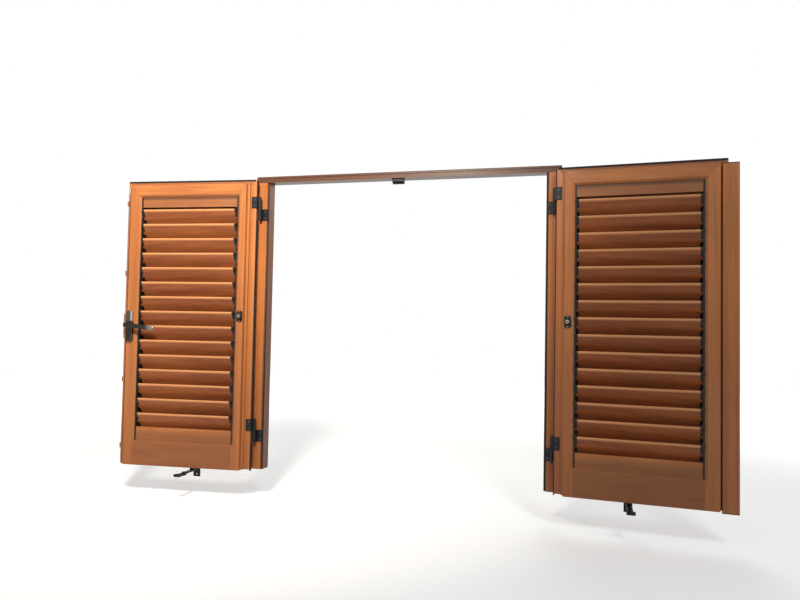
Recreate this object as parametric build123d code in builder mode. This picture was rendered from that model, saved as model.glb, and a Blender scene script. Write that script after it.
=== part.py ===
"""Pair of brown aluminium louvred shutters with turning slats, hung in their own frame.

Both leaves are folded back as they are used by day: they stand a few degrees off the wall, and the
inside face looks outwards. +X runs along the wall, +Y goes into the wall and +Z is up. The origin is
the middle of the head's fixing holes, on the head's top face. All sizes are in millimetres.
"""
import os
from math import cos, radians, sin

from build123d import *

os.makedirs("parts", exist_ok=True)

# The frame: a head on two jambs, all of hollow section, with no bottom bar
frame_width = 1232.0
frame_height = 1200.0
frame_depth = 54.0
jamb_width = 56.0
head_height = 26.0
frame_wall = 2.5
bead_radius = 5.0
bead_width = 9.0
groove_width = 2.5
groove_depth = 2.0
inner_step_width = 9.0
inner_step_depth = 7.0

# Fixing holes: two in the head, and two in each jamb
fixing_hole_radius = 3.5
head_fixing_inset = 216.0
jamb_fixing_inset = 150.0

# How a leaf hangs: a layer on the wall side laps over the frame, and the rest fits inside it
open_lean = 5.0
leaf_thickness = 46.0
lap_thickness = 16.0
middle_layer_thickness = 10.0
lap_gap = 4.0
axis_to_lap_edge = 10.0
lap_over_jamb = 20.0
inside_clearance = 4.0
middle_layer_setback = 9.0
lap_over_head = 6.0
middle_layer_below_head = 7.0
head_to_face = 15.0
foot_clearance = 4.0
leaf_edge_radius = 2.0

# The leaf's own frame: stiles at the sides, rails between them
hinge_stile_face = 34.0
free_stile_face = 46.0
face_width = 507.0
free_lap_width = 27.0
free_middle_layer_width = 4.5
top_rail_face = 51.0
bottom_rail_face = 100.0
opening_bevel = 8.0
top_filler_height = 41.0
bottom_filler_height = 54.0
filler_setback = 10.0
filler_thickness = 10.0

# Slats: slim blades with rounded edges and a pivot pin at each end
slat_count = 15
slat_width_to_pitch = 1.3
slat_thickness = 10.0
slat_nose_radius = 4.5
slat_tilt = 33.0
slat_end_gap = 0.4
slat_pin_radius = 3.0
slat_pin_clearance = 0.05
slat_pin_stop = 0.5
first_slat_below_filler = 43.0
last_slat_above_filler = 26.0
baffle_reach = 22.0
baffle_thickness = 4.0
pivot_strip_thickness = 6.0
pivot_strip_width = 30.0
turning_gap = 0.3

# Tilt knobs on the hinge stiles, each turning in a plate
knob_above_foot = 620.0
knob_plate_width = 24.0
knob_plate_height = 44.0
knob_plate_thickness = 3.0
knob_plate_radius = 8.0
knob_screw_spacing = 36.0
knob_screw_radius = 1.8
knob_screw_proud = 0.8
knob_radius = 12.0
knob_waist_radius = 9.5
knob_flange_thickness = 2.5
knob_waist_height = 2.5
knob_head_height = 7.0
knob_grip_count = 6
knob_grip_radius = 2.5
knob_socket_radius = 3.5
knob_socket_depth = 6.0
spindle_radius = 5.0
spindle_clearance = 0.05
spindle_depth = 9.0
spindle_end_gap = 1.0

# Hinges: the leaf's half stands on the frame's half, which carries the pin
upper_hinge_below_top = 137.0
lower_hinge_above_foot = 159.0
hinge_half_height = 46.0
hinge_barrel_radius = 6.5
hinge_pin_radius = 3.5
hinge_pin_clearance = 0.05
hinge_pin_length = 43.0
hinge_pin_end_gap = 1.0
hinge_leg_thickness = 4.0
hinge_leg_gap = 0.3
hinge_plate_thickness = 3.0
leaf_plate_width = 23.0
frame_plate_width = 24.0
hinge_screw_radius = 3.2
hinge_screw_proud = 0.6
hinge_screw_spacing = 26.0

# Handle, its case and the bolt rods on the left leaf
handle_above_foot = 572.0
handle_hub_rise = 4.0
handle_plate_width = 30.0
handle_plate_height = 127.0
handle_plate_thickness = 9.0
handle_plate_radius = 6.0
handle_neck_radius = 9.0
handle_neck_length = 15.0
handle_lever_length = 124.0
handle_lever_width = 19.0
handle_lever_thickness = 12.0
handle_tip_width = 16.0
handle_tip_thickness = 9.0
handle_lever_chamfer = 2.5
handle_lever_droop = 5.0
handle_spindle_radius = 5.0
handle_spindle_depth = 7.0
rod_radius = 4.0
rod_to_face = 11.5
rod_height_over_lap = 18.0
rod_clearance = 0.35
rod_wall = 1.6
rod_travel = 16.0
rod_below_keeper = 13.0
rod_end_setback = 2.0
rod_gap_at_handle = 26.0
case_height = 100.0
guide_height = 20.0
end_guide_inset = 76.0
middle_guide_from_handle = 220.0

# Keeper under the head: a plate with the rod's hole, and a lip that stops the leaves
keeper_length = 48.0
keeper_height = 12.0
keeper_hole_clearance = 1.0
keeper_hole_wall = 4.5
keeper_front_wall = 2.0
keeper_stop_drop = 20.0
keeper_stop_thickness = 5.0
keeper_stop_gap = 2.0

# Seals along the leaf's top edge and hinge-side edge
seal_thickness = 3.5
top_seal_height = 5.0
side_seal_setback = 2.0
side_seal_width = 12.0
seal_end_setback = 3.0
side_seal_tail = 6.0

# Astragal: the hollow strip on the right leaf that fills the gap between the leaves
astragal_width = 53.0
astragal_gap_to_face = 6.0
astragal_lift = 2.0
astragal_thickness = 20.0
astragal_foot_width = 16.0
astragal_wall = 2.0
astragal_radius = 4.0
astragal_top_rise = 2.0
astragal_foot_drop = 6.0
astragal_cap_thickness = 3.0

# Hold-backs: an arm on the wall that reaches under the leaf, with a catch at its end
holdback_from_axis = 265.0
arm_width = 16.0
arm_thickness = 6.0
arm_below_leaf = 20.0
wall_plate_width = 30.0
wall_plate_height = 64.0
wall_plate_thickness = 4.0
wall_plate_hole_spacing = 44.0
wall_plate_hole_radius = 3.0
pad_gap = 0.3
pad_height = 26.0
pad_depth = 8.0
catch_gap_to_leaf = 1.5
catch_thickness = 8.0
catch_stem_width = 9.0
catch_head_width = 30.0
catch_head_length = 24.0
catch_head_radius = 7.0
catch_stem_length = 36.0
catch_tail_length = 10.0
catch_barrel_radius = 6.0
catch_pin_radius = 3.0
catch_pin_clearance = 0.05
fork_cheek = 4.0
fork_reach = 20.0
fork_floor = 3.0

# Places worked out from the sizes above
front_y = -frame_depth / 2
jamb_outer_x = frame_width / 2
jamb_inner_x = jamb_outer_x - jamb_width
lap_depth = -lap_thickness
middle_depth = lap_depth - middle_layer_thickness
face_depth = -leaf_thickness
mid_depth = face_depth / 2
lap_edge = axis_to_lap_edge
middle_edge = lap_edge + lap_over_jamb + inside_clearance
face_edge = middle_edge + middle_layer_setback
opening_start = face_edge + hinge_stile_face
face_end = face_edge + face_width
opening_end = face_end - free_stile_face
middle_end = face_end + free_middle_layer_width
lap_end = face_end + free_lap_width
axis_x = jamb_inner_x + lap_edge + lap_over_jamb
axis_y = front_y - lap_gap - lap_thickness

lap_top = -head_height + lap_over_head
middle_top = -head_height - middle_layer_below_head
face_top = -head_height - head_to_face
opening_top = face_top - top_rail_face
leaf_bottom = -frame_height + foot_clearance
opening_bottom = leaf_bottom + bottom_rail_face
field_top = opening_top - top_filler_height
field_bottom = opening_bottom + bottom_filler_height
first_slat_z = field_top - first_slat_below_filler
last_slat_z = field_bottom + last_slat_above_filler
slat_pitch = (first_slat_z - last_slat_z) / (slat_count - 1)
slat_width = slat_pitch * slat_width_to_pitch

knob_height_z = -frame_height + knob_above_foot
upper_hinge_z = -upper_hinge_below_top
lower_hinge_z = -frame_height + lower_hinge_above_foot
handle_z = -frame_height + handle_above_foot
hub_z = handle_z + handle_hub_rise
guide_levels = (
    face_top - end_guide_inset,
    handle_z + middle_guide_from_handle,
    handle_z - middle_guide_from_handle,
    leaf_bottom + end_guide_inset,
)

lean = radians(open_lean)
tilt = radians(slat_tilt)
right_leaf = Plane(
    origin=(axis_x, axis_y, 0),
    x_dir=(cos(lean), -sin(lean), 0),
    z_dir=(0, 0, 1),
)


def across(u, depth=0.0, z=0.0):
    """Plane square to the leaf's width: sketch x is depth towards the wall, sketch y is up."""
    return Plane(
        origin=right_leaf.from_local_coords((u, depth, z)),
        x_dir=right_leaf.y_dir,
        z_dir=right_leaf.x_dir,
    )


def on_leaf(u, depth, z):
    """Plane parallel to the leaf that faces away from the wall: sketch x is along, sketch y is up."""
    return Plane(
        origin=right_leaf.from_local_coords((u, depth, z)),
        x_dir=right_leaf.x_dir,
        z_dir=-right_leaf.y_dir,
    )


def across_tilted(u, z):
    """Plane square to the leaf's width at its middle depth, turned by the slats' tilt."""
    return Plane(
        origin=right_leaf.from_local_coords((u, mid_depth, z)),
        x_dir=right_leaf.y_dir * cos(tilt) + Vector(0, 0, sin(tilt)),
        z_dir=right_leaf.x_dir,
    )


def block(u_low, u_high, depth_low, depth_high, z_low, z_high):
    """Add a straight bar to the part being built, in the leaf's own directions."""
    with BuildSketch(right_leaf.offset(z_low)) as profile:
        with Locations(((u_low + u_high) / 2, (depth_low + depth_high) / 2)):
            Rectangle(u_high - u_low, depth_high - depth_low)
    extrude(profile.sketch, amount=z_high - z_low)


def layer(corners, depth_low, depth_high):
    """Add one flat layer of a stile or rail, from its corners in the leaf's width and height."""
    with BuildSketch(on_leaf(0, depth_high, 0)) as profile:
        with BuildLine():
            Polyline(*corners, close=True)
        make_face()
    extrude(profile.sketch, amount=depth_high - depth_low)


def cut_opening_bevels():
    """Bevel the opening's edges on both faces, mitred at the corners."""
    middle_u = (opening_start + opening_end) / 2
    middle_z = (opening_top + opening_bottom) / 2
    for depth, inwards in ((face_depth, -1), (0.0, 1)):
        with BuildSketch(on_leaf(middle_u, depth, middle_z)) as profile:
            Rectangle(
                opening_end - opening_start + 2 * opening_bevel,
                opening_top - opening_bottom + 2 * opening_bevel,
            )
        extrude(profile.sketch, amount=inwards * opening_bevel, taper=45, mode=Mode.SUBTRACT)


def upright_edges(shape, u, depth):
    """The upright edges of a shape that stand at one place of the leaf's section."""
    found = ShapeList()
    for edge in shape.edges().filter_by(Axis.Z):
        place = right_leaf.to_local_coords(edge.center())
        if abs(place.X - u) < turning_gap and abs(place.Y - depth) < turning_gap:
            found.append(edge)
    return found


def save(piece, label):
    """Name a finished piece and write it."""
    piece.part.label = label
    export_step(piece.part, "parts/" + label + ".step")


def save_left(piece, label):
    """Write the mirror image of a piece that was drawn on the right leaf."""
    with BuildPart() as twin:
        mirror(piece.part, about=Plane.YZ)
    save(twin, label)


def save_pair(piece, label):
    """Write a right-hand piece, and its mirror image for the left."""
    save(piece, "right_" + label)
    save_left(piece, "left_" + label)


# Jambs: the bead runs down the outer edge, and the inner edge is stepped back
with BuildPart() as jamb:
    with BuildSketch(Plane.XY.offset(-frame_height)):
        with Locations((jamb_inner_x + jamb_width / 2, 0)):
            Rectangle(jamb_width, frame_depth)
        with Locations((jamb_inner_x, front_y)):
            Rectangle(
                inner_step_width,
                inner_step_depth,
                align=(Align.MIN, Align.MIN),
                mode=Mode.SUBTRACT,
            )
        with Locations((jamb_outer_x - bead_width, front_y)):
            Rectangle(
                groove_width,
                groove_depth,
                align=(Align.MAX, Align.MIN),
                mode=Mode.SUBTRACT,
            )
        outer_corner = [
            v for v in vertices() if v.X > jamb_outer_x - frame_wall and v.Y < 0
        ]
        fillet(outer_corner, bead_radius)
    extrude(amount=frame_height - head_height)
    with BuildSketch(Plane.XY.offset(-frame_height)):
        with Locations((jamb_inner_x + frame_wall, front_y + inner_step_depth + frame_wall)):
            Rectangle(
                jamb_width - 2 * frame_wall,
                frame_depth - inner_step_depth - 2 * frame_wall,
                align=(Align.MIN, Align.MIN),
            )
    extrude(amount=frame_height - head_height, mode=Mode.SUBTRACT)
    with BuildSketch(Plane.YZ.offset(jamb_inner_x)):
        with Locations((0, -frame_height / 2)):
            with GridLocations(0, frame_height - 2 * jamb_fixing_inset, 1, 2):
                Circle(fixing_hole_radius)
    extrude(amount=jamb_width, mode=Mode.SUBTRACT)

# Head: it runs the full width over both jambs
with BuildPart() as head_rail:
    with BuildSketch(Plane.YZ.offset(-frame_width / 2)):
        with Locations((0, -head_height / 2)):
            Rectangle(frame_depth, head_height)
        with Locations((front_y, -bead_width)):
            Rectangle(
                groove_depth,
                groove_width,
                align=(Align.MIN, Align.MAX),
                mode=Mode.SUBTRACT,
            )
        upper_corner = [
            v for v in vertices() if v.X < 0 and v.Y > -frame_wall
        ]
        fillet(upper_corner, bead_radius)
    extrude(amount=frame_width)
    with BuildSketch(Plane.YZ.offset(-frame_width / 2 + frame_wall)):
        with Locations((front_y + groove_depth + frame_wall, -frame_wall)):
            Rectangle(
                frame_depth - groove_depth - 2 * frame_wall,
                head_height - 2 * frame_wall,
                align=(Align.MIN, Align.MAX),
            )
    extrude(amount=frame_width - 2 * frame_wall, mode=Mode.SUBTRACT)
    with BuildSketch(Plane.XY.offset(-head_height)):
        with GridLocations(frame_width - 2 * head_fixing_inset, 0, 2, 1):
            Circle(fixing_hole_radius)
    extrude(amount=head_height, mode=Mode.SUBTRACT)

save_pair(jamb, "jamb")
save(head_rail, "head_rail")

# Hinge stile: mitred to the top rail, and square at the foot
hinge_layers = (
    (lap_edge, lap_top, lap_depth, 0.0),
    (middle_edge, middle_top, middle_depth, lap_depth),
    (face_edge, face_top, face_depth, middle_depth),
)
knob_u = face_edge + (hinge_stile_face - opening_bevel) / 2
with BuildPart() as hinge_stile:
    for edge_u, top_z, depth_low, depth_high in hinge_layers:
        layer(
            (
                (edge_u, leaf_bottom),
                (opening_start, leaf_bottom),
                (opening_start, opening_top),
                (edge_u, top_z),
            ),
            depth_low,
            depth_high,
        )
    cut_opening_bevels()
    for edge_u, _, depth_low, _ in hinge_layers:
        fillet(upright_edges(hinge_stile, edge_u, depth_low), leaf_edge_radius)
    with BuildSketch(on_leaf(knob_u, face_depth, knob_height_z)):
        Circle(spindle_radius + spindle_clearance)
    extrude(amount=-(spindle_depth + spindle_end_gap), mode=Mode.SUBTRACT)

# Free stile: the same section turned round, with a wider face
free_layers = (
    (lap_end, lap_top, lap_depth, 0.0),
    (middle_end, middle_top, middle_depth, lap_depth),
    (face_end, face_top, face_depth, middle_depth),
)
with BuildPart() as free_stile:
    for edge_u, top_z, depth_low, depth_high in free_layers:
        layer(
            (
                (edge_u, leaf_bottom),
                (opening_end, leaf_bottom),
                (opening_end, opening_top),
                (edge_u, top_z),
            ),
            depth_low,
            depth_high,
        )
    cut_opening_bevels()
    for edge_u, _, depth_low, _ in free_layers:
        fillet(upright_edges(free_stile, edge_u, depth_low), leaf_edge_radius)

handle_u = face_end - handle_plate_width / 2
with BuildPart() as handle_stile:
    add(free_stile.part)
    with BuildSketch(on_leaf(handle_u, face_depth, hub_z)):
        Circle(handle_spindle_radius + spindle_clearance)
    extrude(amount=-(handle_spindle_depth + spindle_end_gap), mode=Mode.SUBTRACT)

# Top rail: mitred at both ends, with a thin filler down to the slats
with BuildPart() as top_rail:
    for start, finish in zip(hinge_layers, free_layers):
        start_u, top_z, depth_low, depth_high = start
        layer(
            (
                (start_u, top_z),
                (finish[0], top_z),
                (opening_end, opening_top),
                (opening_start, opening_top),
            ),
            depth_low,
            depth_high,
        )
    block(
        opening_start + pivot_strip_thickness,
        opening_end - pivot_strip_thickness,
        face_depth + filler_setback,
        face_depth + filler_setback + filler_thickness,
        field_top,
        opening_top,
    )
    cut_opening_bevels()
    block(
        opening_start + pivot_strip_thickness,
        opening_end - pivot_strip_thickness,
        -opening_bevel - baffle_thickness,
        -opening_bevel,
        field_top - baffle_reach,
        opening_top,
    )

# Bottom rail: butted between the stiles, with a thin filler up to the slats
with BuildPart() as bottom_rail:
    block(opening_start, opening_end, face_depth, 0.0, leaf_bottom, opening_bottom)
    block(
        opening_start + pivot_strip_thickness,
        opening_end - pivot_strip_thickness,
        face_depth + filler_setback,
        face_depth + filler_setback + filler_thickness,
        opening_bottom,
        field_bottom,
    )
    cut_opening_bevels()

save_pair(hinge_stile, "hinge_stile")
save(free_stile, "right_free_stile")
save_left(handle_stile, "left_free_stile")
save_pair(top_rail, "top_rail")
save_pair(bottom_rail, "bottom_rail")

# Slats: each blade is tilted with its upper edge towards the room side
slat_start = opening_start + pivot_strip_thickness + slat_end_gap
slat_end = opening_end - pivot_strip_thickness - slat_end_gap
pin_reach = slat_end_gap + pivot_strip_thickness - slat_pin_stop
for index in range(slat_count):
    slat_z = first_slat_z - index * slat_pitch
    shoulder = slat_width / 2 - slat_nose_radius
    with BuildPart() as slat:
        with BuildSketch(across_tilted(slat_start, slat_z)):
            with BuildLine():
                ThreePointArc(
                    (slat_nose_radius, shoulder),
                    (0, slat_width / 2),
                    (-slat_nose_radius, shoulder),
                )
                Polyline(
                    (-slat_nose_radius, shoulder),
                    (-slat_thickness / 2, 0),
                    (-slat_nose_radius, -shoulder),
                )
                ThreePointArc(
                    (-slat_nose_radius, -shoulder),
                    (0, -slat_width / 2),
                    (slat_nose_radius, -shoulder),
                )
                Polyline(
                    (slat_nose_radius, -shoulder),
                    (slat_thickness / 2, 0),
                    (slat_nose_radius, shoulder),
                )
            make_face()
        extrude(amount=slat_end - slat_start)
        with BuildSketch(across(slat_start - pin_reach, mid_depth, slat_z)):
            Circle(slat_pin_radius)
        extrude(amount=slat_end - slat_start + 2 * pin_reach)
    save_pair(slat, "slat_{:02d}".format(index + 1))

# Pivot strips: one down each side of the opening, with the plate that the knob turns in
with BuildPart() as pivot_strips:
    for strip_u in (opening_start, opening_end - pivot_strip_thickness):
        block(
            strip_u,
            strip_u + pivot_strip_thickness,
            mid_depth - pivot_strip_width / 2,
            mid_depth + pivot_strip_width / 2,
            opening_bottom,
            opening_top,
        )
    with BuildSketch(across(opening_start, mid_depth, (first_slat_z + last_slat_z) / 2)):
        with GridLocations(0, slat_pitch, 1, slat_count):
            Circle(slat_pin_radius + slat_pin_clearance)
    extrude(amount=opening_end - opening_start, mode=Mode.SUBTRACT)
    with BuildSketch(on_leaf(knob_u, face_depth, knob_height_z)):
        RectangleRounded(knob_plate_width, knob_plate_height, knob_plate_radius)
        Circle(spindle_radius + spindle_clearance, mode=Mode.SUBTRACT)
    extrude(amount=knob_plate_thickness)
    with BuildSketch(on_leaf(knob_u, face_depth - knob_plate_thickness, knob_height_z)):
        with GridLocations(0, knob_screw_spacing, 1, 2):
            Circle(knob_screw_radius)
    extrude(amount=knob_screw_proud)

save_pair(pivot_strips, "pivot_strips")

# Tilt knob: a flange, a waist and a notched head with a socket
with BuildPart() as knob:
    knob_base = face_depth - knob_plate_thickness - knob_screw_proud - turning_gap
    with BuildSketch(on_leaf(knob_u, face_depth + spindle_depth, knob_height_z)):
        Circle(spindle_radius)
    extrude(amount=face_depth + spindle_depth - knob_base + knob_flange_thickness)
    with BuildSketch(on_leaf(knob_u, knob_base, knob_height_z)):
        Circle(knob_radius)
    extrude(amount=knob_flange_thickness)
    with BuildSketch(on_leaf(knob_u, knob_base - knob_flange_thickness, knob_height_z)):
        Circle(knob_waist_radius)
    extrude(amount=knob_waist_height)
    head_base = knob_base - knob_flange_thickness - knob_waist_height
    with BuildSketch(on_leaf(knob_u, head_base, knob_height_z)):
        Circle(knob_radius)
        with PolarLocations(knob_radius, knob_grip_count):
            Circle(knob_grip_radius, mode=Mode.SUBTRACT)
    extrude(amount=knob_head_height)
    with BuildSketch(on_leaf(knob_u, head_base - knob_head_height, knob_height_z)):
        Circle(knob_socket_radius)
    extrude(amount=-knob_socket_depth, mode=Mode.SUBTRACT)

save_pair(knob, "knob")

# Hinges: the frame's halves carry the pins, and the leaf's halves turn on them
hinge_levels = (upper_hinge_z, lower_hinge_z)
with BuildPart() as frame_hinge:
    for hinge_z in hinge_levels:
        half_low = hinge_z - hinge_half_height
        leg_x = axis_x - hinge_barrel_radius
        with BuildSketch(Plane.XY.offset(half_low)):
            with Locations((axis_x, axis_y)):
                Circle(hinge_barrel_radius)
            with Locations((leg_x, axis_y)):
                Rectangle(
                    hinge_leg_thickness,
                    front_y - axis_y,
                    align=(Align.MIN, Align.MIN),
                )
            with Locations((leg_x + hinge_leg_thickness, front_y)):
                Rectangle(
                    frame_plate_width,
                    hinge_plate_thickness,
                    align=(Align.MAX, Align.MAX),
                )
        extrude(amount=hinge_half_height)
        with BuildSketch(Plane.XY.offset(half_low)):
            with Locations((axis_x, axis_y)):
                Circle(hinge_pin_radius)
        extrude(amount=hinge_half_height + hinge_pin_length)
        screw_x = leg_x - (frame_plate_width - hinge_leg_thickness) / 2
        screw_plane = Plane(
            origin=(screw_x, front_y - hinge_plate_thickness, hinge_z - hinge_half_height / 2),
            x_dir=(1, 0, 0),
            z_dir=(0, -1, 0),
        )
        with BuildSketch(screw_plane):
            with GridLocations(0, hinge_screw_spacing, 1, 2):
                Circle(hinge_screw_radius)
        extrude(amount=hinge_screw_proud)

with BuildPart() as frame_hinges:
    add(frame_hinge.part)
    mirror(frame_hinge.part, about=Plane.YZ)

with BuildPart() as leaf_hinges:
    for hinge_z in hinge_levels:
        half_low = hinge_z + turning_gap
        leg_u = lap_edge - hinge_leg_gap - hinge_leg_thickness
        plate_depth = lap_depth - hinge_plate_thickness
        block(leg_u, lap_edge - hinge_leg_gap, plate_depth, 0.0, half_low, half_low + hinge_half_height)
        block(0.0, lap_edge - hinge_leg_gap, -hinge_barrel_radius, 0.0, half_low, half_low + hinge_half_height)
        block(leg_u, leg_u + leaf_plate_width, plate_depth, lap_depth, half_low, half_low + hinge_half_height)
        with BuildSketch(right_leaf.offset(half_low)):
            Circle(hinge_barrel_radius)
        extrude(amount=hinge_half_height)
        with BuildSketch(right_leaf.offset(half_low)):
            Circle(hinge_pin_radius + hinge_pin_clearance)
        extrude(amount=hinge_pin_length - turning_gap + hinge_pin_end_gap, mode=Mode.SUBTRACT)
        screw_u = (lap_edge + leg_u + leaf_plate_width) / 2
        with BuildSketch(on_leaf(screw_u, plate_depth, half_low + hinge_half_height / 2)):
            with GridLocations(0, hinge_screw_spacing, 1, 2):
                Circle(hinge_screw_radius)
        extrude(amount=hinge_screw_proud)

save(frame_hinges, "frame_hinges")
save_pair(leaf_hinges, "hinges")

# Seals: one along the top lap, and one down the hinge side between the hinges
seal_spans = (
    (upper_hinge_z + hinge_half_height + seal_end_setback, lap_top - seal_end_setback),
    (
        lower_hinge_z + hinge_half_height + seal_end_setback,
        upper_hinge_z - hinge_half_height - seal_end_setback,
    ),
    (leaf_bottom - side_seal_tail, lower_hinge_z - hinge_half_height - seal_end_setback),
)
with BuildPart() as seals:
    block(
        lap_edge + seal_end_setback,
        lap_end - seal_end_setback,
        lap_depth - seal_thickness,
        lap_depth,
        lap_top - top_seal_height,
        lap_top,
    )
    for span_low, span_high in seal_spans:
        block(
            lap_edge - seal_thickness,
            lap_edge,
            -side_seal_setback - side_seal_width,
            -side_seal_setback,
            span_low,
            span_high,
        )

save_pair(seals, "seals")

# Astragal: it sits on the lap of the right leaf on a foot of its own
astragal_start = face_end + astragal_gap_to_face
astragal_top = face_top + astragal_top_rise
astragal_low = leaf_bottom - astragal_foot_drop
astragal_back = lap_depth - astragal_lift
astragal_mid_u = astragal_start + astragal_width / 2
astragal_mid_depth = astragal_back - astragal_thickness / 2
with BuildPart() as astragal:
    with BuildSketch(right_leaf.offset(astragal_low + astragal_cap_thickness)):
        with Locations((astragal_mid_u, astragal_mid_depth)):
            RectangleRounded(astragal_width, astragal_thickness, astragal_radius)
            Rectangle(
                astragal_width - 2 * astragal_wall,
                astragal_thickness - 2 * astragal_wall,
                mode=Mode.SUBTRACT,
            )
    extrude(amount=astragal_top - astragal_low - 2 * astragal_cap_thickness)
    block(
        astragal_start + astragal_radius,
        astragal_start + astragal_radius + astragal_foot_width - astragal_radius,
        astragal_back - astragal_wall,
        lap_depth,
        leaf_bottom,
        astragal_top - astragal_cap_thickness,
    )

with BuildPart() as astragal_caps:
    for cap_z in (astragal_low, astragal_top - astragal_cap_thickness):
        with BuildSketch(right_leaf.offset(cap_z)):
            with Locations((astragal_mid_u, astragal_mid_depth)):
                RectangleRounded(astragal_width, astragal_thickness, astragal_radius)
        extrude(amount=astragal_cap_thickness)

save(astragal, "right_astragal")
save(astragal_caps, "right_astragal_caps")

# Handle case: the plate on the stile's face, the case over its edge, and the rods' guides
rod_u = face_end + rod_to_face
rod_depth = lap_depth - rod_height_over_lap
shell_half = rod_radius + rod_clearance + rod_wall
with BuildPart() as handle_case:
    with BuildSketch(on_leaf(handle_u, face_depth, handle_z)):
        RectangleRounded(handle_plate_width, handle_plate_height, handle_plate_radius)
    extrude(amount=handle_plate_thickness)
    block(
        face_end,
        rod_u + shell_half,
        rod_depth - shell_half,
        rod_depth + shell_half,
        handle_z - case_height / 2,
        handle_z + case_height / 2,
    )
    for guide_z in guide_levels:
        block(
            rod_u - shell_half,
            rod_u + shell_half,
            rod_depth - shell_half,
            lap_depth,
            guide_z - guide_height / 2,
            guide_z + guide_height / 2,
        )
    with BuildSketch(right_leaf.offset(leaf_bottom)):
        with Locations((rod_u, rod_depth)):
            Circle(rod_radius + rod_clearance)
    extrude(amount=-leaf_bottom, mode=Mode.SUBTRACT)
    with BuildSketch(on_leaf(handle_u, face_depth, hub_z)):
        Circle(handle_spindle_radius + spindle_clearance)
    extrude(amount=handle_plate_thickness, mode=Mode.SUBTRACT)

save_left(handle_case, "left_handle_case")

# Lever: the arm is lofted from the hub to the tip and droops a little
droop = radians(handle_lever_droop)
lever_base = face_depth - handle_plate_thickness - turning_gap
lever_mid_depth = lever_base - handle_neck_length - handle_lever_thickness / 2
arm_direction = -right_leaf.x_dir * cos(droop) + Vector(0, 0, -sin(droop))
arm_plane = Plane(
    origin=right_leaf.from_local_coords((handle_u, lever_mid_depth, hub_z)),
    x_dir=right_leaf.y_dir,
    z_dir=arm_direction,
)
with BuildPart() as lever:
    with BuildSketch(on_leaf(handle_u, lever_base, hub_z)):
        Circle(handle_neck_radius)
    extrude(amount=handle_neck_length + handle_lever_thickness)
    with BuildSketch(arm_plane):
        Rectangle(handle_lever_thickness, handle_lever_width)
        chamfer(vertices(), handle_lever_chamfer)
    with BuildSketch(arm_plane.offset(handle_lever_length)):
        Rectangle(handle_tip_thickness, handle_tip_width)
        chamfer(vertices(), handle_lever_chamfer)
    loft(ruled=True)
    tip_rim = lever.faces().sort_by(Axis(arm_plane.origin, arm_direction))[-1].edges()
    chamfer(tip_rim, handle_lever_chamfer - turning_gap)
    with BuildSketch(on_leaf(handle_u, face_depth + handle_spindle_depth, hub_z)):
        Circle(handle_spindle_radius)
    extrude(amount=handle_spindle_depth + handle_plate_thickness + handle_neck_length)

save_left(lever, "left_lever")

# Bolt rods: the upper one goes up into the keeper, and the lower one goes down into the sill
keeper_bottom = -head_height - keeper_height
with BuildPart() as upper_rod:
    with BuildSketch(right_leaf.offset(handle_z + rod_gap_at_handle)):
        with Locations((rod_u, rod_depth)):
            Circle(rod_radius)
    extrude(amount=keeper_bottom - rod_below_keeper - handle_z - rod_gap_at_handle)

with BuildPart() as lower_rod:
    with BuildSketch(right_leaf.offset(leaf_bottom + rod_end_setback)):
        with Locations((rod_u, rod_depth)):
            Circle(rod_radius)
    extrude(amount=handle_z - rod_gap_at_handle - leaf_bottom - rod_end_setback)

save_left(upper_rod, "left_upper_rod")
save_left(lower_rod, "left_lower_rod")

# Keeper: it takes the left leaf's upper rod when both leaves are shut
shut_rod_x = -axis_x + rod_u
shut_rod_y = axis_y - rod_depth
keeper_start = shut_rod_x - rod_radius - keeper_hole_clearance - keeper_hole_wall
stop_y = axis_y - astragal_mid_depth + astragal_thickness / 2 + keeper_stop_gap
with BuildPart() as head_keeper:
    plate_front = shut_rod_y - rod_radius - keeper_hole_clearance - keeper_front_wall
    with BuildSketch(Plane.XY.offset(keeper_bottom)):
        with Locations((keeper_start, plate_front)):
            Rectangle(
                keeper_length,
                stop_y + keeper_stop_thickness - plate_front,
                align=(Align.MIN, Align.MIN),
            )
        with Locations((shut_rod_x, shut_rod_y)):
            Circle(rod_radius + keeper_hole_clearance, mode=Mode.SUBTRACT)
    extrude(amount=keeper_height)
    with BuildSketch(Plane.XY.offset(-head_height - keeper_stop_drop)):
        with Locations((keeper_start, stop_y)):
            Rectangle(keeper_length, keeper_stop_thickness, align=(Align.MIN, Align.MIN))
    extrude(amount=keeper_stop_drop)

save(head_keeper, "head_keeper")

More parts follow.
